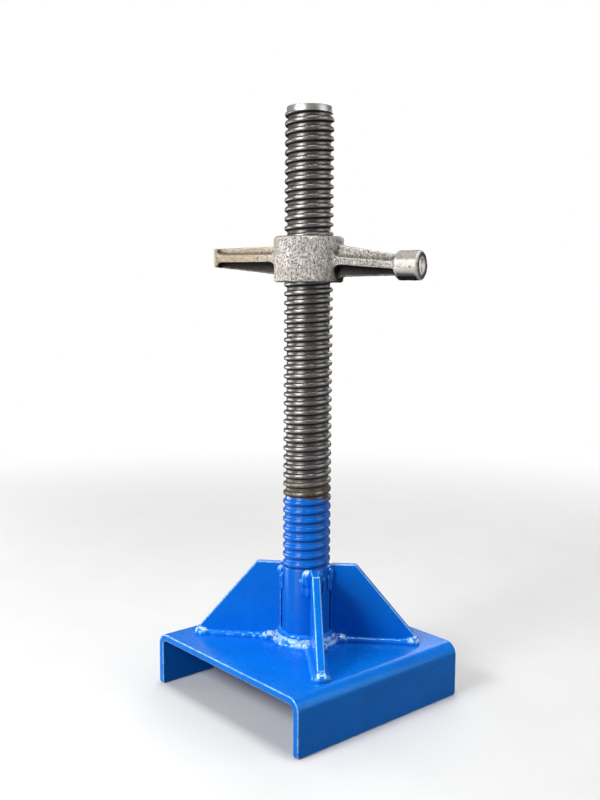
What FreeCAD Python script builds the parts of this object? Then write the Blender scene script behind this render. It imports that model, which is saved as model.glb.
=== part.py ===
import FreeCAD, Part
import os
import re

import Sketcher
from FreeCAD import Placement, Rotation, Vector

# Adjustable jack head, standing on its flange edges with the stem up.
# The origin is the middle of the seat, the face of the web that carries the bearer, on the stem's axis.
# X runs across the flanges, Y along the channel and Z up the stem. Sizes are millimetres or degrees.

SIZES = {
    # Folded channel
    "channel_width": 220,
    "channel_length": 212,
    "plate_thickness": 7,
    "flange_depth": 47,
    "bend_radius": 5.5,
    "corner_radius": 3,
    # Stem: a tube with a plain foot, a threaded length and a turned collar at its free end
    "stem_length": 528,
    "foot_diameter": 49,
    "foot_length": 77.5,
    "crest_diameter": 48,
    "tube_bore": 36,
    "collar_diameter": 44.5,
    "collar_length": 6.5,
    "collar_chamfer": 1,
    # Gussets, each turned about the stem and set to one side of its axis as the maker placed it
    "gusset_thickness": 7.5,
    "gusset_height": 79,
    "gusset_top_reach": 50.5,
    "gusset_foot_reach": 110,
    "gusset_end_height": 9,
    "gusset_gap": 0.8,
    "right_angle": 43,
    "right_offset": 0,
    "left_angle": 221,
    "left_offset": 0,
    "front_angle": -37,
    "front_offset": 5.5,
    "back_angle": 139,
    "back_offset": 0,
    # Welds
    "stem_weld_leg": 9,
    "weld_clearance": 0.3,
    "snipe_clearance": 3,
    "bead_leg": 6.5,
    "bead_height": 6,
    "bead_toe": 0.6,
    "tack_leg": 8.5,
    "tack_length": 20,
    "tack_drop": 4,
    "tack_root": 1,
    # Wing nut, with heights measured from the underside of its hub
    "nut_rest_height": 368,
    "nut_angle": 21.5,
    "nut_height": 44,
    "hub_diameter": 68,
    "hub_chamfer": 1.5,
    "thread_clearance": 0.3,
    "bore_chamfer": 1.5,
    "web_thickness": 9,
    "arm_root_high": 35,
    "arm_root_depth": 4,
    "root_haunch": 4,
    "root_fillet": 6,
    "plain_arm_reach": 102,
    "plain_root_low": 8,
    "plain_arm_low": 14.5,
    "plain_arm_high": 33.5,
    "end_flange_thickness": 3.5,
    "end_flange_width": 25,
    "end_flange_cove": 5,
    "hammer_root_low": 5.5,
    "hammer_arm_low": 6.8,
    "hammer_arm_high": 26,
    "rib_thickness": 7,
    "rib_root_width": 26,
    "rib_end_width": 18,
    "rib_flare_length": 16,
    "rib_height": 23.2,
    "hammer_start": 92.5,
    "hammer_length": 25.5,
    "hammer_diameter": 28,
    "hammer_height": 16,
    "hammer_back_bevel": 3,
    "hammer_chamfer": 2,
    "hammer_overlap": 1.5,
    "dish_diameter": 19,
    "dish_depth": 1.5,
}

GUSSETS = ("right", "left", "front", "back")
ALIAS = re.compile(r"\b[a-z]+(?:_[a-z]+)+\b")
SAME_PLACE = 1e-6

document = FreeCAD.newDocument("jack_head")
sizes = document.addObject("Spreadsheet::Sheet", "Sizes")
for row, (name, number) in enumerate(SIZES.items(), 1):
    sizes.set(f"A{row}", name)
    sizes.set(f"B{row}", str(number))
    sizes.setAlias(f"B{row}", name)
document.recompute()


def bind(item, prop, text):
    """Tie a property to an expression on the sheet's aliases."""
    item.setExpression(prop, ALIAS.sub(r"Sizes.\g<0>", text))


def measure(text):
    """The present value of an expression on the sheet's aliases."""
    return sizes.evalExpression(text)


def new_body(label):
    body = document.addObject("PartDesign::Body", label)
    body.Label = label
    return body


def new_sketch(body, name, role):
    """A sketch on one of the body's own origin planes."""
    sketch = body.newObject("Sketcher::SketchObject", f"{body.Name}_{name}")
    plane = next(item for item in body.Origin.OriginFeatures if item.Role == role)
    sketch.AttachmentSupport = [(plane, "")]
    sketch.MapMode = "FlatFace"
    return sketch


def draw_outline(sketch, corners):
    """A closed outline of straight edges. Each corner is a pair of expressions from the sketch's origin."""
    first = sketch.GeometryCount
    points = [Vector(measure(across), measure(along), 0) for across, along in corners]
    for start, end in zip(points, points[1:] + points[:1]):
        sketch.addGeometry(Part.LineSegment(start, end), False)
    edges = range(first, first + len(points))
    for edge, (across, along), point in zip(edges, corners, points):
        previous = edges[edge - first - 1]
        sketch.addConstraint(Sketcher.Constraint("Coincident", previous, 2, edge, 1))
        for kind, text, number in (("DistanceX", across, point.x), ("DistanceY", along, point.y)):
            index = sketch.addConstraint(Sketcher.Constraint(kind, -1, 1, edge, 1, number))
            bind(sketch, f"Constraints[{index}]", text)


def draw_circle(sketch, diameter, along="0"):
    """A circle centred on the sketch's vertical axis."""
    centre = Vector(0, measure(along), 0)
    circle = sketch.addGeometry(Part.Circle(centre, Vector(0, 0, 1), measure(diameter) / 2), False)
    sketch.addConstraint(Sketcher.Constraint("PointOnObject", circle, 3, -2))
    for constraint, text in (
        (Sketcher.Constraint("DistanceY", -1, 1, circle, 3, centre.y), along),
        (Sketcher.Constraint("Diameter", circle, measure(diameter)), diameter),
    ):
        index = sketch.addConstraint(constraint)
        bind(sketch, f"Constraints[{index}]", text)


def pad(body, sketch, length, symmetric=False):
    feature = body.newObject("PartDesign::Pad", sketch.Name + "_pad")
    feature.Profile = sketch
    feature.SideType = "Symmetric" if symmetric else "One side"
    bind(feature, "Length", length)
    document.recompute()
    return feature


def cut_through(body, sketch):
    """Cut a sketch's outline out of the whole body, both ways from the sketch."""
    before = body.Shape.Volume
    feature = body.newObject("PartDesign::Pocket", sketch.Name + "_cut")
    feature.Profile = sketch
    feature.SideType = "Symmetric"
    feature.Type = "ThroughAll"
    document.recompute()
    if body.Shape.Volume >= before:
        raise RuntimeError(feature.Label + " cut nothing")


def revolve(body, sketch, axis):
    feature = body.newObject("PartDesign::Revolution", sketch.Name + "_turned")
    feature.Profile = sketch
    feature.ReferenceAxis = (sketch, [axis])
    feature.Angle = 360
    document.recompute()


def dress(body, kind, name, prop, size, chosen):
    """Round or bevel the edges of the body's last feature for which chosen(middle of the edge) holds."""
    base = body.Tip
    names = []
    for index, edge in enumerate(base.Shape.Edges, 1):
        if chosen(edge.valueAt((edge.FirstParameter + edge.LastParameter) / 2)):
            names.append(f"Edge{index}")
    if not names:
        raise RuntimeError(name + " found no edge")
    feature = body.newObject(kind, f"{body.Name}_{name}")
    feature.Base = (base, names)
    bind(feature, prop, size)
    document.recompute()


def fillet(body, name, radius, chosen):
    dress(body, "PartDesign::Fillet", name, "Radius", radius, chosen)


def chamfer(body, name, size, chosen):
    dress(body, "PartDesign::Chamfer", name, "Size", size, chosen)


def at(number, text):
    """Whether a coordinate lies at the place that an expression gives."""
    return abs(number - measure(text)) < SAME_PLACE


def make_channel():
    """Plate folded to a U. Its web carries the stem on top and the bearer underneath."""
    body = new_body("channel_head")
    profile = new_sketch(body, "profile", "XZ_Plane")
    outside, inside = "channel_width / 2", "(channel_width / 2 - plate_thickness)"
    draw_outline(profile, [
        ("-" + outside, "-flange_depth"),
        ("-" + outside, "plate_thickness"),
        (outside, "plate_thickness"),
        (outside, "-flange_depth"),
        (inside, "-flange_depth"),
        (inside, "0"),
        ("-" + inside, "0"),
        ("-" + inside, "-flange_depth"),
    ])
    pad(body, profile, "channel_length", symmetric=True)
    fillet(body, "inner_bends", "bend_radius", lambda p: at(abs(p.x), inside) and at(p.z, "0"))
    fillet(body, "outer_bends", "bend_radius + plate_thickness",
           lambda p: at(abs(p.x), outside) and at(p.z, "plate_thickness"))
    fillet(body, "flange_corners", "corner_radius",
           lambda p: at(abs(p.y), "channel_length / 2") and at(p.z, "-flange_depth"))
    return body


def make_stem():
    """Tube that stands on the web. Its threaded length is drawn at the crest of the thread."""
    body = new_body("threaded_stem")
    profile = new_sketch(body, "profile", "XZ_Plane")
    rim = "plate_thickness + foot_length"
    top = "plate_thickness + stem_length"
    draw_outline(profile, [
        ("tube_bore / 2", "plate_thickness"),
        ("foot_diameter / 2", "plate_thickness"),
        ("foot_diameter / 2", rim),
        ("crest_diameter / 2", rim),
        ("crest_diameter / 2", top + " - collar_length"),
        ("collar_diameter / 2", top + " - collar_length"),
        ("collar_diameter / 2", top + " - collar_chamfer"),
        ("collar_diameter / 2 - collar_chamfer", top),
        ("tube_bore / 2", top),
    ])
    revolve(body, profile, "V_Axis")
    return body


def make_stem_weld():
    """Fillet weld between the stem's foot and the web."""
    body = new_body("stem_weld")
    profile = new_sketch(body, "profile", "XZ_Plane")
    draw_outline(profile, [
        ("foot_diameter / 2", "plate_thickness"),
        ("foot_diameter / 2 + stem_weld_leg", "plate_thickness"),
        ("foot_diameter / 2", "plate_thickness + stem_weld_leg"),
    ])
    revolve(body, profile, "V_Axis")
    return body


def place_beside_stem(body, side):
    """Turn a body about the stem and move it sideways, as its gusset was set."""
    angle, offset = f"{side}_angle * 1 deg", f"{side}_offset"
    body.Placement = Placement(Vector(), Rotation(Vector(0, 0, 1), 1))
    bind(body, "Placement.Rotation.Angle", angle)
    bind(body, "Placement.Base.x", f"-{offset} * sin({angle})")
    bind(body, "Placement.Base.y", f"{offset} * cos({angle})")


def make_gusset(side):
    """Stiffener plate, sniped at its inner foot to pass over the stem's weld."""
    body = new_body(f"gusset_{side}")
    profile = new_sketch(body, "profile", "XZ_Plane")
    inner = "foot_diameter / 2 + gusset_gap"
    snipe = "stem_weld_leg + snipe_clearance"
    top = "plate_thickness + gusset_height"
    draw_outline(profile, [
        (f"{inner} + {snipe}", "plate_thickness"),
        ("gusset_foot_reach", "plate_thickness"),
        ("gusset_foot_reach", "plate_thickness + gusset_end_height"),
        ("gusset_top_reach", top),
        (inner, top),
        (inner, f"plate_thickness + {snipe}"),
    ])
    pad(body, profile, "gusset_thickness", symmetric=True)
    place_beside_stem(body, side)
    return body


def make_gusset_weld(side):
    """Bead round the foot of a gusset: both long sides and the outer end."""
    body = new_body(f"gusset_weld_{side}")
    start = "foot_diameter / 2 + stem_weld_leg + weld_clearance"
    half = "gusset_thickness / 2"
    toe = new_sketch(body, "toe", "XY_Plane")
    bind(toe, "AttachmentOffset.Base.z", "plate_thickness")
    draw_outline(toe, [
        (start, f"-({half} + bead_leg)"),
        ("gusset_foot_reach + bead_leg", f"-({half} + bead_leg)"),
        ("gusset_foot_reach + bead_leg", f"{half} + bead_leg"),
        (start, f"{half} + bead_leg"),
    ])
    pad(body, toe, "bead_height")
    chamfer(body, "slope", "bead_height - bead_toe", lambda p: at(p.z, "plate_thickness + bead_height"))
    slot = new_sketch(body, "slot", "XY_Plane")
    draw_outline(slot, [
        ("0", "-" + half),
        ("gusset_foot_reach", "-" + half),
        ("gusset_foot_reach", half),
        ("0", half),
    ])
    cut_through(body, slot)
    place_beside_stem(body, side)
    return body


def make_tack_weld(side):
    """Pair of short upright welds in the corners between a gusset's top and the stem."""
    body = new_body(f"tack_weld_{side}")
    body.AllowCompound = True
    corners = new_sketch(body, "corners", "XY_Plane")
    bind(corners, "AttachmentOffset.Base.z", "plate_thickness + gusset_height - tack_drop - tack_length")
    radius = "foot_diameter / 2"
    for sign in (1, -1):
        face = f"({sign} * gusset_thickness / 2)"
        reach = f"({sign} * {face} + {sign} * {side}_offset)"
        turn = f"(asin({reach} / ({radius})) + tack_leg / ({radius}) * 1 rad)"
        root = f"({radius} - tack_root)"
        draw_outline(corners, [
            (f"sqrt({root} ^ 2 - {reach} ^ 2)", face),
            (f"{radius} + tack_leg", face),
            (f"{root} * cos({turn})", f"{sign} * {root} * sin({turn}) - {side}_offset"),
        ])
    pad(body, corners, "tack_length")
    stem = new_sketch(body, "stem", "XY_Plane")
    draw_circle(stem, "foot_diameter", f"-{side}_offset")
    cut_through(body, stem)
    place_beside_stem(body, side)
    return body


def make_wing_nut():
    """Cast nut: a hub, an upright web and a level rib along both arms, and a hammer head on one."""
    body = new_body("wing_nut")
    hub = new_sketch(body, "hub", "XY_Plane")
    draw_circle(hub, "hub_diameter")
    pad(body, hub, "nut_height")
    chamfer(body, "hub_edges", "hub_chamfer", lambda p: at(p.z, "0") or at(p.z, "nut_height"))

    plain_rib = new_sketch(body, "plain_rib", "XY_Plane")
    bind(plain_rib, "AttachmentOffset.Base.z", "rib_height")
    draw_outline(plain_rib, [
        ("0", "-rib_root_width / 2"),
        ("0", "rib_root_width / 2"),
        ("rib_flare_length - plain_arm_reach", "rib_end_width / 2"),
        ("-plain_arm_reach", "end_flange_width / 2"),
        ("-plain_arm_reach", "-end_flange_width / 2"),
        ("rib_flare_length - plain_arm_reach", "-rib_end_width / 2"),
    ])
    pad(body, plain_rib, "rib_thickness", symmetric=True)

    tip = "hammer_start + hammer_overlap"
    hammer_rib = new_sketch(body, "hammer_rib", "XY_Plane")
    hammer_rib.AttachmentOffset = Placement(Vector(), Rotation(Vector(0, 1, 0), 1))
    bind(hammer_rib, "AttachmentOffset.Base.z", "rib_height")
    bind(hammer_rib, "AttachmentOffset.Rotation.Angle", f"atan((rib_height - hammer_height) / ({tip}))")
    draw_outline(hammer_rib, [
        ("0", "-rib_root_width / 2"),
        (tip, "-rib_end_width / 2"),
        (tip, "rib_end_width / 2"),
        ("0", "rib_root_width / 2"),
    ])
    pad(body, hammer_rib, "rib_thickness", symmetric=True)
    fillet(body, "rib_roots", "root_fillet",
           lambda p: at(p.x ** 2 + p.y ** 2, "hub_diameter ^ 2 / 4")
           and abs(p.z - measure("rib_height")) < measure("rib_thickness"))

    web = new_sketch(body, "web", "XZ_Plane")
    inside = "(hub_diameter / 2 - arm_root_depth)"
    haunch = "(hub_diameter / 2 + root_haunch)"
    draw_outline(web, [
        ("-plain_arm_reach", "plain_arm_low"),
        ("-" + haunch, "plain_root_low"),
        ("-" + inside, "plain_root_low - root_haunch"),
        (inside, "hammer_root_low - root_haunch"),
        (haunch, "hammer_root_low"),
        (tip, "hammer_arm_low"),
        (tip, "hammer_arm_high"),
        (haunch, "arm_root_high"),
        (inside, "arm_root_high + root_haunch"),
        ("-" + inside, "arm_root_high + root_haunch"),
        ("-" + haunch, "arm_root_high"),
        ("-plain_arm_reach", "plain_arm_high"),
    ])
    pad(body, web, "web_thickness", symmetric=True)

    flange = new_sketch(body, "end_flange", "XZ_Plane")
    flange_face = "end_flange_thickness - plain_arm_reach"
    draw_outline(flange, [
        ("-plain_arm_reach", "plain_arm_low"),
        (flange_face, "plain_arm_low"),
        (flange_face, "plain_arm_high"),
        ("-plain_arm_reach", "plain_arm_high"),
    ])
    pad(body, flange, "end_flange_width", symmetric=True)
    fillet(body, "end_coves", "end_flange_cove",
           lambda p: at(p.x, flange_face) and at(abs(p.z - measure("rib_height")), "rib_thickness / 2"))

    hammer = new_sketch(body, "hammer", "XZ_Plane")
    bind(hammer, "AttachmentOffset.Base.y", "hammer_height")
    end = "hammer_start + hammer_length"
    draw_outline(hammer, [
        ("hammer_start", "0"),
        ("hammer_start", "hammer_diameter / 2 - hammer_back_bevel"),
        ("hammer_start + hammer_back_bevel", "hammer_diameter / 2"),
        (end + " - hammer_chamfer", "hammer_diameter / 2"),
        (end, "hammer_diameter / 2 - hammer_chamfer"),
        (end, "dish_diameter / 2"),
        (end + " - dish_depth", "dish_diameter / 2 - dish_depth"),
        (end + " - dish_depth", "0"),
    ])
    revolve(body, hammer, "H_Axis")

    bore = new_sketch(body, "bore", "XY_Plane")
    bore_diameter = "crest_diameter + 2 * thread_clearance"
    draw_circle(bore, bore_diameter)
    cut_through(body, bore)
    chamfer(body, "bore_mouths", "bore_chamfer",
            lambda p: at(p.x ** 2 + p.y ** 2, f"({bore_diameter}) ^ 2 / 4") and not at(p.z, "nut_height / 2"))

    body.Placement = Placement(Vector(), Rotation(Vector(0, 0, 1), 1))
    bind(body, "Placement.Base.z", "nut_rest_height")
    bind(body, "Placement.Rotation.Angle", "nut_angle * 1 deg")
    return body


nodes = [make_channel(), make_stem(), make_stem_weld(), make_wing_nut()]
for gusset_side in GUSSETS:
    nodes += [make_gusset(gusset_side), make_gusset_weld(gusset_side), make_tack_weld(gusset_side)]
document.recompute()

for item in document.Objects:
    if {"Invalid", "Error"} & set(item.State):
        raise RuntimeError(f"{item.Label} failed: {item.State}")
for node in nodes:
    if node.Shape.isNull() or not node.Shape.isValid():
        raise RuntimeError(f"{node.Label} has no sound shape")
    if len(node.Shape.Solids) > 1 and not node.AllowCompound:
        raise RuntimeError(f"{node.Label} fell apart")

os.makedirs("parts", exist_ok=True)
for node in nodes:
    node.Shape.exportStep(f"parts/{node.Label}.step")
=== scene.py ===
import math

import bmesh
import bpy
from mathutils import Matrix, Vector
from mathutils.kdtree import KDTree


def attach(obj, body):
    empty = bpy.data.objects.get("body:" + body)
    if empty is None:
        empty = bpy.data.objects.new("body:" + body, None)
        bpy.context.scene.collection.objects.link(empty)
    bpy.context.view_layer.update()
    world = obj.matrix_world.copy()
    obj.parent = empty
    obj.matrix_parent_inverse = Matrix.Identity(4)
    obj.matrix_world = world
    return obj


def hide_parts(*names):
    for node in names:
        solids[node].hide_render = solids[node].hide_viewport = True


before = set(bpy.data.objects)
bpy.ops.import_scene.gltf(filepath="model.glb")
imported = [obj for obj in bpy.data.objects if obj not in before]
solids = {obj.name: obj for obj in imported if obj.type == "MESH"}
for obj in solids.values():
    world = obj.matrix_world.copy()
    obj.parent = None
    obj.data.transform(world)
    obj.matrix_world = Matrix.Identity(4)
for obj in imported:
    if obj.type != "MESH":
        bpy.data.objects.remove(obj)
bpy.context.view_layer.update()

# Channel head. One steel plate folded to a U, with its cut edges dulled before painting.
# The whole of it is sprayed with a glossy cobalt enamel that runs a little thin on the edges, where a
# painted highlight lightens it.

EDGE_WIDTH = 0.0010
SAME_POINT = 1e-6
FLAT_ANGLE = 0.01
SHARP_ANGLE = 0.7
COBALT = (0.001, 0.142, 0.63, 1)
BRIGHT_COBALT = (0.001, 0.172, 0.72, 1)
CLOUDED_COBALT = (0.001, 0.122, 0.55, 1)
ENAMEL_SHEEN = (0.12, 0.65, 1.0, 1)
THIN_COAT_HIGHLIGHT = (0.27, 0.58, 1.0, 1)
CHIP_GREY = (0.66, 0.74, 0.82, 1)
NICK_BLACK = (0.006, 0.012, 0.03, 1)


class Net:
    """A socket in a node tree. Arithmetic on it adds Math nodes, and node() adds any other kind."""

    def __init__(self, tree, socket=None):
        self.tree = tree
        self.socket = socket

    def feed(self, node, inputs):
        """Link each of these inputs of a node to a socket, or set it to a plain value."""
        for name, value in inputs.items():
            if isinstance(value, Net):
                self.tree.links.new(value.socket, node.inputs[name])
            else:
                node.inputs[name].default_value = value

    def node(self, kind, settings=None, inputs=None, output=0):
        made = self.tree.nodes.new(kind)
        for name, value in (settings or {}).items():
            setattr(made, name, value)
        self.feed(made, inputs or {})
        return Net(self.tree, made.outputs[output])

    def maths(self, operation, *values):
        return self.node("ShaderNodeMath", {"operation": operation}, dict(enumerate(values)))

    def __add__(self, other):
        return self.maths("ADD", self, other)

    def __sub__(self, other):
        return self.maths("SUBTRACT", self, other)

    def __mul__(self, other):
        return self.maths("MULTIPLY", self, other)

    def __radd__(self, other):
        return self.maths("ADD", other, self)

    def __rsub__(self, other):
        return self.maths("SUBTRACT", other, self)

    def __rmul__(self, other):
        return self.maths("MULTIPLY", other, self)

    def vector(self, operation, *values):
        """Vector maths on this vector. A length or a dot product comes out as one value."""
        output = "Value" if operation in ("LENGTH", "DOT_PRODUCT") else "Vector"
        inputs = dict(enumerate((self, *values)))
        return self.node("ShaderNodeVectorMath", {"operation": operation}, inputs, output)

    def scaled(self, factor):
        """This vector times one value."""
        return self.node("ShaderNodeVectorMath", {"operation": "SCALE"}, {0: self, "Scale": factor})

    def part(self, axis):
        """The X, Y or Z of this vector."""
        return self.node("ShaderNodeSeparateXYZ", None, {"Vector": self}, axis)

    def upright_scale(self, factor):
        """These coordinates with only their height scaled."""
        return self.node("ShaderNodeMapping", None, {"Vector": self, "Scale": (1.0, 1.0, factor)})

    def noise(self, scale, detail=3.0, roughness=0.55, distortion=0.0):
        return self.node("ShaderNodeTexNoise", None, {
            "Vector": self,
            "Scale": scale,
            "Detail": detail,
            "Roughness": roughness,
            "Distortion": distortion,
        })

    def ease(self, low, high):
        """0 below low, 1 above high, and a soft step between them. It falls where low is the larger."""
        return self.node("ShaderNodeMapRange", {"interpolation_type": "SMOOTHSTEP"},
                         {"Value": self, "From Min": low, "From Max": high})

    def blend(self, first, second):
        """The colour first where this value is 0, and second where it is 1."""
        return self.node("ShaderNodeMix", {"data_type": "RGBA"}, {0: self, 6: first, 7: second}, 2)

    def bump(self, strength, distance):
        """A normal that is bent by this value as a height."""
        return self.node("ShaderNodeBump", None,
                         {"Strength": strength, "Distance": distance, "Height": self})


def new_material(name):
    """A material, its shader and its object coordinates."""
    material = bpy.data.materials.new(name)
    material.use_nodes = True
    shader = material.node_tree.nodes["Principled BSDF"]
    place = Net(material.node_tree).node("ShaderNodeTexCoord", output="Object")
    return material, shader, place


def mark(place, name):
    """A value that the mesh carries under this name."""
    return place.node("ShaderNodeAttribute", {"attribute_name": name}, output="Fac")


def enamel(place):
    """Colour, roughness and surface height of the sprayed coat."""
    drift = place.noise(9.0, 2.0).ease(0.3, 0.7)
    cloud = place.noise(60.0).ease(0.42, 0.78)
    colour = drift.blend(COBALT, BRIGHT_COBALT)
    colour = (cloud * 0.4).blend(colour, CLOUDED_COBALT)
    roughness = 0.20 + place.noise(140.0, 4.0) * 0.18
    peel = place.noise(380.0, 2.0)
    return colour, roughness, peel


blue_enamel, shader, place = new_material("blue_enamel")
colour, roughness, height = enamel(place)
rim = mark(place, "rim")
# Painted highlight along the rounded edges, over a coat that runs thin there: the rim is lighter.
thin_coat_highlight = rim * (0.45 + place.noise(240.0, 4.0).ease(0.40, 0.65) * 0.55)
chips = rim * place.noise(330.0, 5.0, 0.7).ease(0.665, 0.69)
nicks = rim * place.noise(280.0, 4.0, 0.6).ease(0.33, 0.30)
colour = (thin_coat_highlight * 0.9).blend(colour, THIN_COAT_HIGHLIGHT)
colour = chips.blend(colour, CHIP_GREY)
colour = nicks.blend(colour, NICK_BLACK)
place.feed(shader, {
    "Base Color": colour,
    "Roughness": roughness + chips * 0.25,
    "Specular IOR Level": 0.6,
    "Specular Tint": ENAMEL_SHEEN,
    "Coat Weight": 0.08 + rim * 0.6,
    "Coat Roughness": 0.08,
    "Normal": height.bump(0.16, 0.0004),
})


def new_piece(name, data):
    """An object in the scene that shows this mesh, lamp or camera."""
    piece = bpy.data.objects.new(name, data)
    bpy.context.scene.collection.objects.link(piece)
    return piece


def as_plain_mesh(piece):
    """Turn a piece and its modifiers into a plain mesh."""
    bpy.context.view_layer.update()
    graph = bpy.context.evaluated_depsgraph_get()
    made = bpy.data.meshes.new_from_object(piece.evaluated_get(graph))
    piece.modifiers.clear()
    old = piece.data
    piece.data = made
    bpy.data.meshes.remove(old)
    made.name = piece.name


def finish_piece(piece, body, slot, material, *stands_for):
    """Dress a finished piece, hang it on its body and let it stand for its solids."""
    piece.data.materials.clear()
    piece.data.materials.append(material)
    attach(piece, body)
    if stands_for:
        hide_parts(*stands_for)


def eased_plate(name, solid):
    """A plate with its solid's shape and its cut edges rounded. The rim mark is on those edges."""
    work = bmesh.new()
    work.from_mesh(solids[solid].data)
    bmesh.ops.remove_doubles(work, verts=work.verts, dist=SAME_POINT)
    bmesh.ops.dissolve_limit(work, angle_limit=FLAT_ANGLE, verts=work.verts, edges=work.edges)
    sharp = [edge for edge in work.edges if edge.calc_face_angle(0) > SHARP_ANGLE]
    rim_layer = work.faces.layers.float.new("rim")
    made = bmesh.ops.bevel(work, geom=sharp, offset=EDGE_WIDTH, segments=3, profile=0.5,
                           affect="EDGES", clamp_overlap=True)
    for face in made["faces"]:
        face[rim_layer] = 1.0
    for face in work.faces:
        face.smooth = True
    mesh = bpy.data.meshes.new(name)
    work.to_mesh(mesh)
    work.free()
    piece = new_piece(name, mesh)
    piece.modifiers.new("flat_faces", "WEIGHTED_NORMAL").keep_sharp = True
    as_plain_mesh(piece)
    return piece


channel = eased_plate("channel_plate", "channel_head")
finish_piece(channel, "head", "blue_paint", blue_enamel, "channel_head")

# Stem. A steel tube rolled with a coarse right-hand thread, plain at the foot, turned at the free end.
# It was dipped in the enamel to a quarter of its height, and is bare, oiled steel above that. Shade under
# the crests and in the grooves is painted into its colour.

stem_points = [vert.co for vert in solids["threaded_stem"].data.vertices]
SEAT_TOP = round(min(point.z for point in stem_points), 5)
STEM_TOP = round(max(point.z for point in stem_points), 5)
FOOT_RADIUS = round(max(point.xy.length for point in stem_points), 5)
FOOT_TOP = 0.0845
FOOT_ROUND = 0.0007
FOOT_ROUND_MID = 0.0002
COLLAR_HEIGHT = 0.5285
COLLAR_RADIUS = 0.02225
COLLAR_ROUND = 0.0011
COLLAR_ROUND_MID = 0.0003
BORE_RADIUS = 0.018
BORE_CHAMFER = 0.0006
BORE_FLOOR = 0.0002
CREASE_ANGLE = 0.75
CUT_MARGIN = 1e-7
ON_CUT = 1e-5

TURNS = 52
STEPS_IN_TURN = 72
POINTS_ACROSS = 17
THREAD_SEAM = 1e-5
CREST_AT = 0.165
FLANK = (0.19, 0.34)
UNDERSIDE_FROM = (0.70, 0.79)
UNDERSIDE_TO = (0.97, 1.04)

PAINT_LINE = 0.1555
PAINT_FADE = 0.004
RAGGED_EDGE = 0.020
BARE_STEEL = (PAINT_LINE - 0.0012, PAINT_LINE + 0.0022)
STAINED_STEEL = (PAINT_LINE + 0.024, PAINT_LINE + 0.002)
THREADED_PAINT = (FOOT_TOP - 0.002, FOOT_TOP)
TURNED_END = (COLLAR_HEIGHT - 0.0002, COLLAR_HEIGHT + 0.0004)
FOOT_BLUE = (0.001, 0.105, 0.48, 1)
UNDERSIDE_SHADE_BLUE = (0.0005, 0.035, 0.17, 1)
DARK_STEEL = (0.16, 0.15, 0.142, 1)
BRIGHT_STEEL = (0.38, 0.362, 0.345, 1)
GROOVE_SHADE_STEEL = (0.08, 0.074, 0.07, 1)
GRIME_AND_SHADE_BLACK = (0.006, 0.005, 0.005, 1)
BROWN_STAIN = (0.085, 0.058, 0.022, 1)
TURNED_STEEL = (0.62, 0.60, 0.58, 1)

stem_finish, shader, place = new_material("stem_finish")
colour, roughness, height = enamel(place)
above_seat = place.part("Z")
dragged = place.upright_scale(2.5)
ragged = above_seat + (dragged.noise(55.0, 3.0, 0.5) - 0.5) * RAGGED_EDGE
bare = ragged.ease(*BARE_STEEL)
stain = ragged.ease(*STAINED_STEEL) * dragged.noise(120.0).ease(0.30, 0.55)
streak = place.upright_scale(6.0).noise(330.0, 4.0, 0.65)
groove = mark(place, "groove")
shaded_underside = mark(place, "shaded_underside")
threaded = above_seat.ease(*THREADED_PAINT)
colour = (0.55 - threaded * 0.4 + streak * 0.2).blend(colour, FOOT_BLUE)
# Painted shade: the lower flank of each painted turn is darker blue.
colour = (shaded_underside * 0.8).blend(colour, UNDERSIDE_SHADE_BLUE)
steel = streak.ease(0.3, 0.75).blend(DARK_STEEL, BRIGHT_STEEL)
# Painted shade: the bare steel is darker towards the root of each groove.
steel = (groove * 0.55).blend(steel, GROOVE_SHADE_STEEL)
# Painted shade with some oily grime: the lower flank of each bare turn goes nearly black.
grime_and_shade = shaded_underside * place.noise(160.0).ease(0.10, 0.3)
steel = (grime_and_shade * 0.95).blend(steel, GRIME_AND_SHADE_BLACK)
steel = (stain * 0.85).blend(steel, BROWN_STAIN)
turned_end = above_seat.ease(*TURNED_END)
steel = (turned_end * 0.7).blend(steel, TURNED_STEEL)
place.feed(shader, {
    "Base Color": bare.blend(colour, steel),
    "Metallic": bare * 0.8 * (1 - stain * 0.6) * (1 - grime_and_shade * 0.9),
    "Roughness": (1 - bare) * roughness + bare * (0.25 + streak * 0.16 + stain * 0.25 + grime_and_shade * 0.3),
    "Specular IOR Level": 0.1,
    "Coat Weight": (1 - bare) * (0.05 + threaded * 0.5),
    "Coat Roughness": 0.13,
    "Normal": (height * (1 - bare) * 0.6 + streak * bare).bump(0.25, 0.0004),
})


def new_tree(name, sizes, counts=()):
    """A geometry node tree with named sizes, whole numbers and a finish. Gives its net and its inputs."""
    tree = bpy.data.node_groups.new(name, "GeometryNodeTree")
    tree.interface.new_socket("Geometry", in_out="OUTPUT", socket_type="NodeSocketGeometry")
    kinds = {
        "Geometry": "NodeSocketGeometry",
        **dict.fromkeys(sizes, "NodeSocketFloat"),
        **dict.fromkeys(counts, "NodeSocketInt"),
        "Finish": "NodeSocketMaterial",
    }
    for label, kind in kinds.items():
        tree.interface.new_socket(label, in_out="INPUT", socket_type=kind)
    given = tree.nodes.new("NodeGroupInput")
    return Net(tree), {socket.name: Net(tree, socket) for socket in given.outputs}


def store(shape, name, value):
    """Keep a value on the points of a shape under this name."""
    return shape.node("GeometryNodeStoreNamedAttribute", {"data_type": "FLOAT", "domain": "POINT"},
                      {"Geometry": shape, "Name": name, "Value": value})


def end_tree(net, shape, finish):
    """Let a tree end in real mesh that wears the finish, and give the tree back."""
    shape = net.node("GeometryNodeRealizeInstances", None, {"Geometry": shape})
    shape = net.node("GeometryNodeSetMaterial", None, {"Geometry": shape, "Material": finish})
    net.feed(net.tree.nodes.new("NodeGroupOutput"), {"Geometry": shape})
    return net.tree


def grow(piece, tree, values):
    """Give a piece a node tree and set its inputs by their identifiers."""
    modifier = piece.modifiers.new(tree.name, "NODES")
    modifier.node_group = tree
    for item in tree.interface.items_tree:
        if item.in_out == "INPUT" and item.name in values:
            modifier[item.identifier] = values[item.name]


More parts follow.
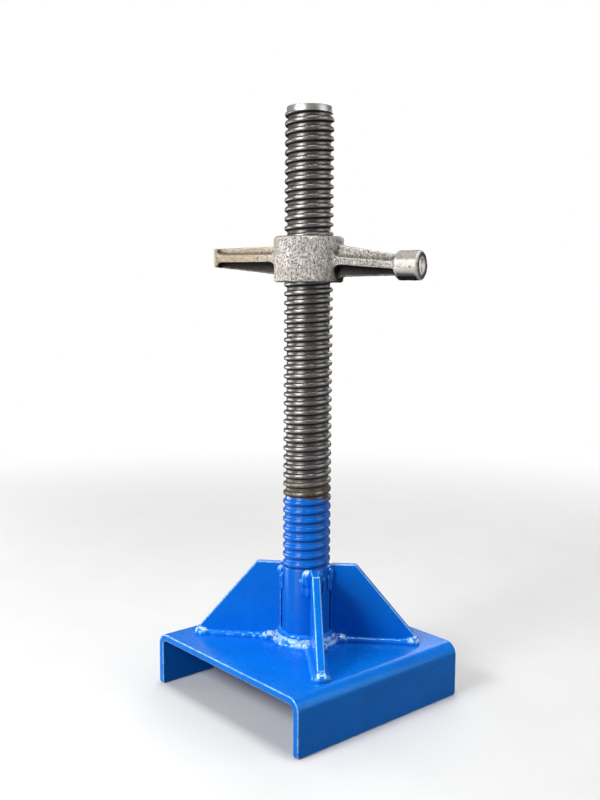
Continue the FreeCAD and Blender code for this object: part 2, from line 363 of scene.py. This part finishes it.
thread_sizes = {
    "Turns": float(TURNS),
    "Start height": 0.0704,
    "Pitch": 0.009,
    "Crest radius": 0.024,
    "Groove depth": 0.0029,
    "Coat in groove": 0.0009,
    "Coat line": PAINT_LINE,
}
net, size = new_tree("rolled_thread", thread_sizes)
sheet = net.node("GeometryNodeMeshGrid", None, {
    "Size X": 1.0,
    "Size Y": 1.0,
    "Vertices X": TURNS * STEPS_IN_TURN + 1,
    "Vertices Y": POINTS_ACROSS,
})
spot = net.node("GeometryNodeInputPosition")
turn = (spot.part("X") + 0.5) * size["Turns"]
across = spot.part("Y") + 0.5
rise = size["Start height"] + (turn + across) * size["Pitch"]
from_crest = net.maths("PINGPONG", across - CREST_AT, 0.5)
dip = net.maths("MINIMUM", from_crest * from_crest * 4.0 + from_crest.ease(*FLANK), 1.0)
coated = 1 - (rise - size["Coat line"]).ease(-PAINT_FADE, PAINT_FADE)
radius = size["Crest radius"] - (size["Groove depth"] - size["Coat in groove"] * coated) * dip
angle = turn * math.tau
helix = net.node("ShaderNodeCombineXYZ", None, {
    "X": radius * net.maths("COSINE", angle),
    "Y": radius * net.maths("SINE", angle),
    "Z": rise,
})
thread = store(sheet, "groove", dip)
# The lower flank of each turn is marked for painted shade.
thread = store(thread, "shaded_underside", across.ease(*UNDERSIDE_FROM) * (1 - across.ease(*UNDERSIDE_TO)))
thread = net.node("GeometryNodeSetPosition", None, {"Geometry": thread, "Position": helix})
thread = net.node("GeometryNodeMergeByDistance", None, {"Geometry": thread, "Distance": THREAD_SEAM})
thread_tree = end_tree(net, thread, size["Finish"])

stem = new_piece("stem_tube", bpy.data.meshes.new("stem_tube"))
grow(stem, thread_tree, {**thread_sizes, "Finish": stem_finish})
as_plain_mesh(stem)

# The thread is cut off level at both ends. The plain foot and the collar with its bore are drawn on there.
foot_profile = (
    (FOOT_RADIUS - FOOT_ROUND, FOOT_TOP),
    (FOOT_RADIUS - FOOT_ROUND_MID, FOOT_TOP - FOOT_ROUND_MID),
    (FOOT_RADIUS, FOOT_TOP - FOOT_ROUND),
    (FOOT_RADIUS, SEAT_TOP),
)
collar_profile = (
    (COLLAR_RADIUS, COLLAR_HEIGHT),
    (COLLAR_RADIUS, STEM_TOP - COLLAR_ROUND),
    (COLLAR_RADIUS - COLLAR_ROUND_MID, STEM_TOP - COLLAR_ROUND_MID),
    (COLLAR_RADIUS - COLLAR_ROUND, STEM_TOP),
    (BORE_RADIUS + BORE_CHAMFER, STEM_TOP),
    (BORE_RADIUS, STEM_TOP - BORE_CHAMFER),
    (BORE_RADIUS, SEAT_TOP + BORE_FLOOR),
)
work = bmesh.new()
work.from_mesh(stem.data)
thread_marks = [work.verts.layers.float[name] for name in ("groove", "shaded_underside")]
for cut, side, profile in ((FOOT_TOP, -1, foot_profile), (COLLAR_HEIGHT, 1, collar_profile)):
    bmesh.ops.bisect_plane(work, geom=[*work.verts, *work.edges, *work.faces], dist=CUT_MARGIN,
                           plane_co=(0, 0, cut), plane_no=(0, 0, side), clear_outer=True)
    loop = [edge for edge in work.edges
            if edge.is_boundary and all(abs(vert.co.z - cut) < ON_CUT for vert in edge.verts)]
    for reach, rise_to in profile:
        made = bmesh.ops.extrude_edge_only(work, edges=loop)["geom"]
        loop = [item for item in made if isinstance(item, bmesh.types.BMEdge) and item.is_boundary]
        for vert in {vert for edge in loop for vert in edge.verts}:
            vert.co = Vector((vert.co.x, vert.co.y, 0)).normalized() * reach + Vector((0, 0, rise_to))
            for layer in thread_marks:
                vert[layer] = 0.0
    bmesh.ops.contextual_create(work, geom=loop)
bmesh.ops.recalc_face_normals(work, faces=work.faces)
for face in work.faces:
    face.smooth = True
work.to_mesh(stem.data)
work.free()
stem.data.set_sharp_from_angle(angle=CREASE_ANGLE)
finish_piece(stem, "head", "stem_steel", stem_finish, "threaded_stem")

# Gussets. Four flat stiffeners sawn from steel plate and set on edge round the stem.
# They are painted with the rest, and the saw left their edges a little dull.

# Each gusset's direction round the stem in degrees, and how far it is set to one side of the axis.
GUSSETS = {"right": (43.0, 0.0), "left": (221.0, 0.0), "front": (-37.0, 0.0055), "back": (139.0, 0.0)}
GUSSET_HALF = 0.00375

for side in GUSSETS:
    plate = eased_plate(f"gusset_{side}_plate", f"gusset_{side}")
    finish_piece(plate, "head", "blue_paint", blue_enamel, f"gusset_{side}")

# Welds. Hand-laid runs: a heavy ring of three passes round the stem's foot, a bead round the foot of each
# gusset and broad upright tacks at its top. They are lumpy, pitted and painted over with everything else;
# their tops and thick lumps carry painted highlights and their hollows painted shade.

FUSE_SIZE = 0.0006
FUSE_ROUNDS = 7
VALLEY_FAINT = 0.00002
VALLEY_FULL = 0.00014
PALE_SPAN = 0.0009
RING_STEPS = 96
BLOB_REACH = 0.0345
BLOB_OUT = 0.0030
BLOB_UP = 0.0012
BLOB_SPREAD = 1.10
BLOB_GIRTHS = (0.0068, 0.0064)

# Along a bead: distance from the axis and girth. At its toe: girth of the corners and of the heap.
BEAD_RUN = ((0.0370, 0.0060), (0.046, 0.0049), (0.078, 0.0046), (0.099, 0.0047))
BEAD_END = 0.1105
BEAD_OUT = 0.0014
BEAD_UP = 0.0007
TOE_CORNERS = (0.004, 0.001)
TOE_UP = 0.0014
TOES = {
    "right": (0.0060, 0.0054),
    "left": (0.0060, 0.0054),
    "front": (0.0047, 0.0064),
    "back": (0.0058, 0.0056),
}

# A tack's runs: distance from the gusset's face, girth, lowest and highest point.
TACK_RUNS = ((0.0018, 0.0050, 0.061, 0.0790), (0.0064, 0.0032, 0.062, 0.0740))
TACK_SWELL = (0.8, 0.9, 1.35)
TACK_LIFT = 0.0004
# How full a gusset's tacks are on its left and right face.
TACKS = {"right": (0.7, 0.65), "left": (0.85, 0.85), "front": (0.65, 1.0), "back": (0.85, 0.85)}
ROOT_GIRTH = 0.0017
ROOT_LEVELS = (0.016, 0.040, 0.064)

TOP_HIGHLIGHT_BLUE = (0.02, 0.26, 0.93, 1)
RUBBED_HIGHLIGHT_BLUE = (0.60, 0.80, 1.0, 1)
VALLEY_SHADE_BLUE = (0.001, 0.035, 0.19, 1)
PIT_BLUE = (0.001, 0.012, 0.06, 1)

weld_enamel, shader, place = new_material("weld_enamel")
colour, _, _ = enamel(place)
pits = place.noise(240.0, 2.0, 0.6).ease(0.73, 0.77)
# Painted highlight: faces that look upward are lighter blue.
top_highlight = place.node("ShaderNodeNewGeometry", output="Normal").part("Z").ease(0.15, 0.75)
# Pale patches on the upward faces of thick lumps: rubbed coat with a painted highlight.
rubbed_highlight = mark(place, "lump") * top_highlight * place.noise(200.0).ease(0.40, 0.53)
# Painted shade: the weld's hollows are darker.
valley_shade = mark(place, "valley_shade")
colour = (top_highlight * 0.35).blend(colour, TOP_HIGHLIGHT_BLUE)
colour = (rubbed_highlight * 0.9).blend(colour, RUBBED_HIGHLIGHT_BLUE)
colour = (valley_shade * 0.8).blend(colour, VALLEY_SHADE_BLUE)
colour = (pits * 0.9).blend(colour, PIT_BLUE)
place.feed(shader, {
    "Base Color": colour,
    "Roughness": 0.14 + place.noise(300.0) * 0.12 + pits * 0.4 + valley_shade * 0.3,
    "Specular IOR Level": 0.7,
    "Specular Tint": ENAMEL_SHEEN,
    "Coat Weight": 0.45 * (1 - pits) * (1 - valley_shade * 0.8),
    "Coat Roughness": 0.06,
    "Normal": (place.noise(260.0, 2.0) - pits).bump(0.2, 0.0006),
})


def evened(value, kind, rounds):
    """A value on a mesh, evened out with its neighbours."""
    return value.node("GeometryNodeBlurAttribute", {"data_type": kind},
                      {"Value": value, "Iterations": rounds})


net, size = new_tree("weld_run", ("Step", "Lumps", "Wander"))
path = net.node("GeometryNodeMeshToCurve", None, {"Mesh": size["Geometry"]})
path = net.node("GeometryNodeResampleCurve", {"mode": "LENGTH"}, {"Curve": path, "Length": size["Step"]})
spot = net.node("GeometryNodeInputPosition")
slump = net.node("ShaderNodeTexNoise", None, {"Vector": spot, "Scale": 140.0, "Detail": 2.0}, "Color")
slump = slump.vector("SUBTRACT", (0.5, 0.5, 0.5)).scaled(size["Wander"])
path = net.node("GeometryNodeSetPosition", None, {"Geometry": path, "Offset": slump})
girth = net.node("GeometryNodeInputNamedAttribute", {"data_type": "FLOAT"}, {"Name": "girth"})
lumpy = 1.0 + (spot.noise(170.0, 2.0) - 0.5) * size["Lumps"]
drop = net.node("GeometryNodeMeshIcoSphere", None, {"Radius": 1.0, "Subdivisions": 2})
drops = net.node("GeometryNodeInstanceOnPoints", None,
                 {"Points": path, "Instance": drop, "Scale": girth * lumpy})
weld_tree = end_tree(net, drops, size["Finish"])

# Marks the weld's hollows, where the material paints shade.
net, size = new_tree("weld_valleys", ("Faint", "Full"))
spot = net.node("GeometryNodeInputPosition")
facing = net.node("GeometryNodeInputNormal")
sunk = evened(spot, "FLOAT_VECTOR", 6).vector("SUBTRACT", spot).vector("DOT_PRODUCT", facing)
marked = store(size["Geometry"], "valley_shade", sunk.ease(size["Faint"], size["Full"]))
valley_tree = end_tree(net, marked, size["Finish"])


def fuse(piece, voxel, rounds):
    """Run a piece together into one skin of small even faces, and soften it."""
    skin = piece.modifiers.new("one_skin", "REMESH")
    skin.mode = "VOXEL"
    skin.voxel_size = voxel
    skin.use_smooth_shade = True
    soften = piece.modifiers.new("soften", "SMOOTH")
    soften.factor = 0.5
    soften.iterations = rounds


def weld(name, runs, stands_for, step, lumps, wander, pale_from):
    """Drops of weld along some runs, fused into one lumpy bead. A run is a list of (point, girth).
    A run thicker than the girth given in the last argument gets pale patches on its upward faces: rubbed
    coat with a painted highlight."""
    points = []
    edges = []
    girths = []
    for run in runs:
        first = len(points)
        points += [point for point, girth in run]
        girths += [girth for point, girth in run]
        edges += [(index, index + 1) for index in range(first, len(points) - 1)]
    mesh = bpy.data.meshes.new(name)
    mesh.from_pydata(points, edges, [])
    mesh.attributes.new("girth", "FLOAT", "POINT").data.foreach_set("value", girths)
    piece = new_piece(name, mesh)
    grow(piece, weld_tree, {"Step": step, "Lumps": lumps, "Wander": wander, "Finish": weld_enamel})
    fuse(piece, FUSE_SIZE, FUSE_ROUNDS)
    grow(piece, valley_tree, {"Faint": VALLEY_FAINT, "Full": VALLEY_FULL, "Finish": weld_enamel})
    as_plain_mesh(piece)
    near = KDTree(len(points))
    for index, point in enumerate(points):
        near.insert(point, index)
    near.balance()
    over = [(girths[near.find(vert.co)[1]] - pale_from) / PALE_SPAN for vert in piece.data.vertices]
    lump = piece.data.attributes.new("lump", "FLOAT", "POINT")
    lump.data.foreach_set("value", [min(1.0, max(0.0, value)) for value in over])
    finish_piece(piece, "head", "blue_paint", weld_enamel, stands_for)


def ring(out, up, girth):
    """A run right round the stem's foot."""
    reach = FOOT_RADIUS + out
    turns = [math.tau * step / RING_STEPS for step in range(RING_STEPS + 1)]
    return [((reach * math.cos(turn), reach * math.sin(turn), SEAT_TOP + up), girth) for turn in turns]


def gusset_frame(side):
    """From a gusset's own directions, out along it and to its left, to the head's."""
    turned, offset = GUSSETS[side]
    return Matrix.Rotation(math.radians(turned), 4, "Z") @ Matrix.Translation((0, offset, 0))


passes = [
    ring(out=0.0066, up=0.0000, girth=0.0046),
    ring(out=0.0034, up=0.0038, girth=0.0046),
    ring(out=0.0004, up=0.0082, girth=0.0034),
]
for side in GUSSETS:
    for hand in (1, -1):
        blob = gusset_frame(side) @ Vector((BLOB_REACH, hand * (GUSSET_HALF + BLOB_OUT), SEAT_TOP + BLOB_UP))
        passes.append(list(zip((tuple(blob), tuple(blob * BLOB_SPREAD)), BLOB_GIRTHS)))
weld("stem_weld_bead", passes, "stem_weld", step=0.0014, lumps=0.5, wander=0.0030, pale_from=0.0039)

for side, (_, offset) in GUSSETS.items():
    here = gusset_frame(side)
    edge = GUSSET_HALF + BEAD_OUT
    level = SEAT_TOP + BEAD_UP
    corner, heap = TOES[side]
    along = [*BEAD_RUN, *((BEAD_END - back, corner) for back in TOE_CORNERS)]
    foot = [((reach, edge, level), girth) for reach, girth in along]
    foot += [((BEAD_END, 0.0, level + TOE_UP), heap)]
    foot += [((reach, -edge, level), girth) for reach, girth in reversed(along)]
    foot = [(tuple(here @ Vector(point)), girth) for point, girth in foot]
    weld(f"gusset_{side}_bead", [foot], f"gusset_weld_{side}",
         step=0.0014, lumps=0.34, wander=0.0014, pale_from=0.0050)
    tacks = []
    for hand, share in zip((1, -1), TACKS[side]):
        for out, girth, low, high in TACK_RUNS:
            lateral = hand * (GUSSET_HALF + out)
            reach = math.sqrt(FOOT_RADIUS ** 2 - (lateral + offset) ** 2) + TACK_LIFT
            levels = (low, (low + high) / 2, high)
            tacks.append([(tuple(here @ Vector((reach, lateral, level))), girth * more * share)
                          for level, more in zip(levels, TACK_SWELL)])
    root = FOOT_RADIUS + TACK_LIFT
    tacks.append([(tuple(here @ Vector((root, 0.0, level))), ROOT_GIRTH) for level in ROOT_LEVELS])
    weld(f"gusset_{side}_tacks", tacks, f"tack_weld_{side}",
         step=0.0012, lumps=0.6, wander=0.0020, pale_from=0.0052)

# Spatter. Small balls of weld metal that flew off while the head was welded and stuck where they fell.
# Nobody chipped them off, so they are under the paint on the plate round the stem.

SPATTER_REACH = 0.092
spatter_sizes = {"Density": 700.0, "Smallest": 0.0004, "Largest": 0.0011}

net, size = new_tree("weld_spatter", spatter_sizes, ("Seed",))
fallen = net.node("GeometryNodeDistributePointsOnFaces", None,
                  {"Mesh": size["Geometry"], "Density": size["Density"], "Seed": size["Seed"]})
girth = net.node("FunctionNodeRandomValue", {"data_type": "FLOAT"},
                 {2: size["Smallest"], 3: size["Largest"], "Seed": size["Seed"]}, 1)
ball = net.node("GeometryNodeMeshIcoSphere", None, {"Radius": 1.0, "Subdivisions": 2})
ball = net.node("GeometryNodeSetShadeSmooth", None, {"Geometry": ball})
balls = net.node("GeometryNodeInstanceOnPoints", None, {"Points": fallen, "Instance": ball, "Scale": girth})
spatter_tree = end_tree(net, balls, size["Finish"])


def disc(name, radius, segments, height):
    """A flat round piece at this height."""
    work = bmesh.new()
    bmesh.ops.create_circle(work, cap_ends=True, segments=segments, radius=radius)
    mesh = bpy.data.meshes.new(name)
    work.to_mesh(mesh)
    work.free()
    mesh.transform(Matrix.Translation((0, 0, height)))
    return new_piece(name, mesh)


spatter = disc("spatter", SPATTER_REACH, segments=48, height=SEAT_TOP)
grow(spatter, spatter_tree, {**spatter_sizes, "Seed": 5, "Finish": weld_enamel})
as_plain_mesh(spatter)
finish_piece(spatter, "head", "blue_paint", weld_enamel)

# Wing nut. One iron casting, blasted clean and left bare, so its skin is sandy and warm grey.
# The arms have a cross-shaped section, and one ends in a hammer head for knocking the nut round; the shade
# under its ribs and in its creases and the highlights on its edges are painted into its colour.

NUT_TURN = math.radians(21.5)
HAMMER_HEIGHT = 0.384
HAMMER_END = 0.118
KNOB = (0.091, 0.097)
STRUCK_END = (-0.0035, -0.0012)
DISH_RIM = (0.0072, 0.0090)
RING_INSIDE = (0.0075, 0.0095)
RING_OUTSIDE = (0.0118, 0.0132)
STRAW_ARM = (0.005, 0.060)
SKIN_SIZE = 0.0008
SKIN_ROUNDS = 4
RAY_CLEARANCE = 0.0008
UP = (0.0, 0.0, 1.0)
DOWN = (0.0, 0.0, -1.0)
HOLLOW_SHARE = (0.5, 0.9)
DEEP_UNDER = (0.012, 0.002)
EDGE_BULGE = (0.00008, 0.00024)
LEANS = (UP, (0.5, 0.0, 0.86), (-0.5, 0.0, 0.86), (0.0, 0.5, 0.86), (0.0, -0.5, 0.86))
skin_sizes = {"Swell": 0.0006, "Grit": 0.0008, "Shelter reach": 0.022, "Crevice reach": 0.0028}

DARK_SAND = (0.15, 0.137, 0.126, 1)
PALE_SAND = (0.72, 0.685, 0.64, 1)
PATCH_BROWN = (0.33, 0.295, 0.26, 1)
KNOB_GREY = (0.68, 0.63, 0.59, 1)
WORN_EDGE_HIGHLIGHT = (0.86, 0.83, 0.79, 1)
STRAW_BROWN = (0.56, 0.44, 0.28, 1)
PIT_BROWN = (0.06, 0.052, 0.046, 1)
DULL_DISH = (0.30, 0.28, 0.26, 1)
BRIGHT_DISH = (0.95, 0.94, 0.92, 1)
RING_BROWN = (0.05, 0.043, 0.038, 1)
CREVICE_SHADE_BROWN = (0.05, 0.042, 0.035, 1)
PALE_UNDER_SHADE = (0.085, 0.073, 0.064, 1)
BLACK_UNDER_SHADE = (0.004, 0.003, 0.003, 1)
EDGE_HIGHLIGHT_IN_SHADE = (0.42, 0.38, 0.34, 1)

cast_iron, shader, place = new_material("cast_iron_skin")
sand = place.upright_scale(0.6).noise(680.0, 3.0, 0.65, 0.9)
pits = place.noise(430.0, 3.0, 0.6).ease(0.61, 0.67)
patch = place.noise(34.0).ease(0.40, 0.66)
inline = place.node("ShaderNodeMapping", {"vector_type": "TEXTURE"},
                    {"Vector": place, "Rotation": (0.0, 0.0, NUT_TURN)})
straw = (-1.0 * inline.part("X")).ease(*STRAW_ARM) * (0.45 + place.noise(90.0) * 0.75)
knob = inline.part("X").ease(*KNOB)
centred = inline.vector("SUBTRACT", (HAMMER_END, 0, HAMMER_HEIGHT))
from_axis = centred.vector("MULTIPLY", (0, 1, 1)).vector("LENGTH")
struck = centred.part("X").ease(*STRUCK_END)
rust_ring = struck * from_axis.ease(*RING_INSIDE) * (1 - from_axis.ease(*RING_OUTSIDE))
dish = struck * (1 - from_axis.ease(*DISH_RIM))
shaded_hollow = mark(place, "shaded_hollow") * (1 - struck)
crevice_shade = mark(place, "crevice_shade") * (1 - struck)
edge = mark(place, "edge")
colour = sand.ease(0.35, 0.60).blend(DARK_SAND, PALE_SAND)
colour = (patch * 0.4).blend(colour, PATCH_BROWN)
colour = (knob * 0.7).blend(colour, KNOB_GREY)
# Convex edges are lighter: worn metal with a painted highlight on it.
colour = (edge * 0.7).blend(colour, WORN_EDGE_HIGHLIGHT)
colour = (straw * 0.6).blend(colour, STRAW_BROWN)
colour = (pits * 0.8).blend(colour, PIT_BROWN)
polished = place.noise(150.0, 2.0).ease(0.36, 0.52).blend(DULL_DISH, BRIGHT_DISH)
colour = (dish * 0.9).blend(colour, polished)
colour = (rust_ring * place.noise(300.0).ease(0.25, 0.45)).blend(colour, RING_BROWN)
# Painted shade in the crease just above each rib.
colour = (crevice_shade * 0.6).blend(colour, CREVICE_SHADE_BROWN)
# Painted shade: sheltered hollows, most of all under the ribs, go dark, nearly black where the casting is
# close overhead.
under_rib_shade = mark(place, "deep").blend(PALE_UNDER_SHADE, BLACK_UNDER_SHADE)
colour = (shaded_hollow * 0.98).blend(colour, under_rib_shade)
# Painted highlight on the edges inside the painted shade.
colour = (edge * shaded_hollow * 0.7).blend(colour, EDGE_HIGHLIGHT_IN_SHADE)
place.feed(shader, {
    "Base Color": colour,
    "Metallic": 0.9 * (1 - pits * 0.8) * (1 - shaded_hollow) * (1 - knob * (1 - dish) * 0.4),
    "Roughness": 0.34 + sand * 0.14 + knob * 0.18 + shaded_hollow * 0.3,
    "Specular IOR Level": 0.15,
    "Normal": ((sand - pits * 0.6) * (1 - knob * 0.75)).bump(1.0, 0.0016),
})

net, size = new_tree("cast_skin", skin_sizes)
spot = net.node("GeometryNodeInputPosition")
facing = net.node("GeometryNodeInputNormal")
clear = facing.vector("MULTIPLY_ADD", (RAY_CLEARANCE,) * 3, spot)


def look_out(direction, reach, output):
    """What a ray from just off the casting's skin finds of the casting itself."""
    return net.node("GeometryNodeRaycast", None, {
        "Target Geometry": size["Geometry"],
        "Source Position": clear,
        "Ray Direction": direction,
        "Ray Length": size[reach],
    }, output)


# Marks for painted shade (how sheltered a point is, the crease above a rib, how close the casting is
# overhead) and for the painted edge highlight (how much a point bulges).
shelter = sum(look_out(lean, "Shelter reach", "Is Hit") * (1 / len(LEANS)) for lean in LEANS)
corner = 1.0 * look_out(DOWN, "Crevice reach", "Is Hit")
above = look_out(UP, "Shelter reach", "Hit Distance")
bulge = spot.vector("SUBTRACT", evened(spot, "FLOAT_VECTOR", 4)).vector("DOT_PRODUCT", facing)
skin = store(size["Geometry"], "shaded_hollow", evened(shelter, "FLOAT", 3).ease(*HOLLOW_SHARE))
skin = store(skin, "crevice_shade", evened(corner, "FLOAT", 1))
skin = store(skin, "deep", above.ease(*DEEP_UNDER))
skin = store(skin, "edge", bulge.ease(*EDGE_BULGE))
lift = (spot.noise(110.0, 2.0) - 0.5) * size["Swell"] + (spot.noise(300.0, 2.0) - 0.5) * size["Grit"]
skin = net.node("GeometryNodeSetPosition", None, {"Geometry": skin, "Offset": facing.scaled(lift)})
skin_tree = end_tree(net, skin, size["Finish"])

nut_mesh = solids["wing_nut"].data.copy()
nut_mesh.name = "nut_casting"
work = bmesh.new()
work.from_mesh(nut_mesh)
bmesh.ops.remove_doubles(work, verts=work.verts, dist=SAME_POINT)
work.to_mesh(nut_mesh)
work.free()
nut = new_piece("nut_casting", nut_mesh)
fuse(nut, SKIN_SIZE, SKIN_ROUNDS)
grow(nut, skin_tree, {**skin_sizes, "Finish": cast_iron})
as_plain_mesh(nut)
finish_piece(nut, "nut", "cast_nut", cast_iron, "wing_nut")

# Setting. A plain pale floor under the flange edges, a lamp and a tall strip of light in front, panels of
# soft light above, left, right and behind, and one more that shines in the hammer's struck end.
# The camera stands where the photograph was taken from.

FLOOR = round(min(vert.co.z for vert in solids["channel_head"].data.vertices), 5)
FLOOR_GAP = 0.0002
FLOOR_RADIUS = 14.0
FADE_FROM = 0.35
FADE_TO = 1.5
FLOOR_GREY = (0.70, 0.70, 0.695, 1)
FLOOR_PALE = (0.76, 0.76, 0.755, 1)
FLOOR_BOUNCE = (0.18, 0.18, 0.18, 1)
WHITE = (1, 1, 1, 1)
DIM_WORLD = 0.02
MIRRORED_WORLD = 0.12

floor = disc("floor", FLOOR_RADIUS, segments=96, height=FLOOR - FLOOR_GAP)
pale_floor, shader, place = new_material("pale_floor")
seen = place.node("ShaderNodeLightPath", output="Is Camera Ray")
pale = place.noise(14.0, 5.0).blend(FLOOR_GREY, FLOOR_PALE)
place.feed(shader, {"Base Color": seen.blend(FLOOR_BOUNCE, pale), "Roughness": 0.6})
fade = place.node("ShaderNodeMixShader", None, {
    0: seen * place.vector("LENGTH").ease(FADE_FROM, FADE_TO),
    1: Net(place.tree, shader.outputs[0]),
    2: place.node("ShaderNodeEmission", None, {"Color": WHITE, "Strength": 1.0}),
})
place.feed(place.tree.nodes["Material Output"], {"Surface": fade})
floor.data.materials.append(pale_floor)

world = bpy.data.worlds.new("surround")
world.use_nodes = True
bpy.context.scene.world = world
net = Net(world.node_tree)
direct, mirrored, through = (net.node("ShaderNodeLightPath", output=f"Is {kind} Ray")
                             for kind in ("Camera", "Glossy", "Transmission"))
plain = net.maths("MAXIMUM", direct, net.maths("MAXIMUM", mirrored * MIRRORED_WORLD, through))
net.feed(world.node_tree.nodes["Background"],
         {"Color": WHITE, "Strength": DIM_WORLD + plain * (1 - DIM_WORLD)})


def softbox(name, spot, aim, wide, tall, power):
    """A lamp with a broad face that is turned to its aim."""
    lamp = bpy.data.lights.new(name, "AREA")
    lamp.shape = "RECTANGLE"
    lamp.size = wide
    lamp.size_y = tall
    lamp.energy = power
    holder = new_piece(name, lamp)
    holder.location = spot
    holder.rotation_euler = (Vector(aim) - Vector(spot)).to_track_quat("-Z", "Y").to_euler()


softbox("front_lamp", (-0.062, -1.145, 0.95), aim=(0, 0, 0.15), wide=0.55, tall=0.30, power=10.5)
softbox("front_strip", (0.120, -1.295, 0.50), aim=(0, 0, 0.40), wide=0.6, tall=1.2, power=12.0)
softbox("left_panel", (-1.07, -0.543, 0.15), aim=(0, 0, 0.15), wide=0.8, tall=0.4, power=8.0)
softbox("right_panel", (1.115, 0.565, 0.60), aim=(0, 0, 0.30), wide=0.9, tall=1.2, power=6.6)
softbox("top_panel", (0.0, 0.0, 1.60), aim=(0, 0, 0), wide=0.55, tall=0.55, power=15.0)
softbox("back_panel", (-0.75, 1.00, 0.80), aim=(0, 0, 0.25), wide=1.0, tall=0.6, power=5.0)
softbox("hammer_panel", (0.240, 1.240, 0.410), aim=(0.110, 0.043, 0.384), wide=0.6, tall=0.6, power=1.6)

CAMERA_SPOT = (0.7043, -0.6250, 0.3630)
SENSOR_WIDTH = 36.0
LENS_LENGTH = 42.9
AZIMUTH = math.radians(48.88)
PITCH_DOWN = math.radians(6.735)
ROLL = math.radians(0.392)
look = Vector((-math.sin(AZIMUTH) * math.cos(PITCH_DOWN), math.cos(AZIMUTH) * math.cos(PITCH_DOWN),
               -math.sin(PITCH_DOWN)))
level = Vector((math.cos(AZIMUTH), math.sin(AZIMUTH), 0))
upright = level.cross(look)
right = level * math.cos(ROLL) + upright * math.sin(ROLL)
up = upright * math.cos(ROLL) - level * math.sin(ROLL)
camera_data = bpy.data.cameras.new("camera")
camera_data.sensor_width = SENSOR_WIDTH
camera_data.lens = LENS_LENGTH
camera = new_piece("camera", camera_data)
camera.matrix_world = Matrix.Translation(CAMERA_SPOT) @ Matrix((right, up, -look)).transposed().to_4x4()
bpy.context.scene.camera = camera
bpy.context.scene.view_settings.view_transform = "Standard"
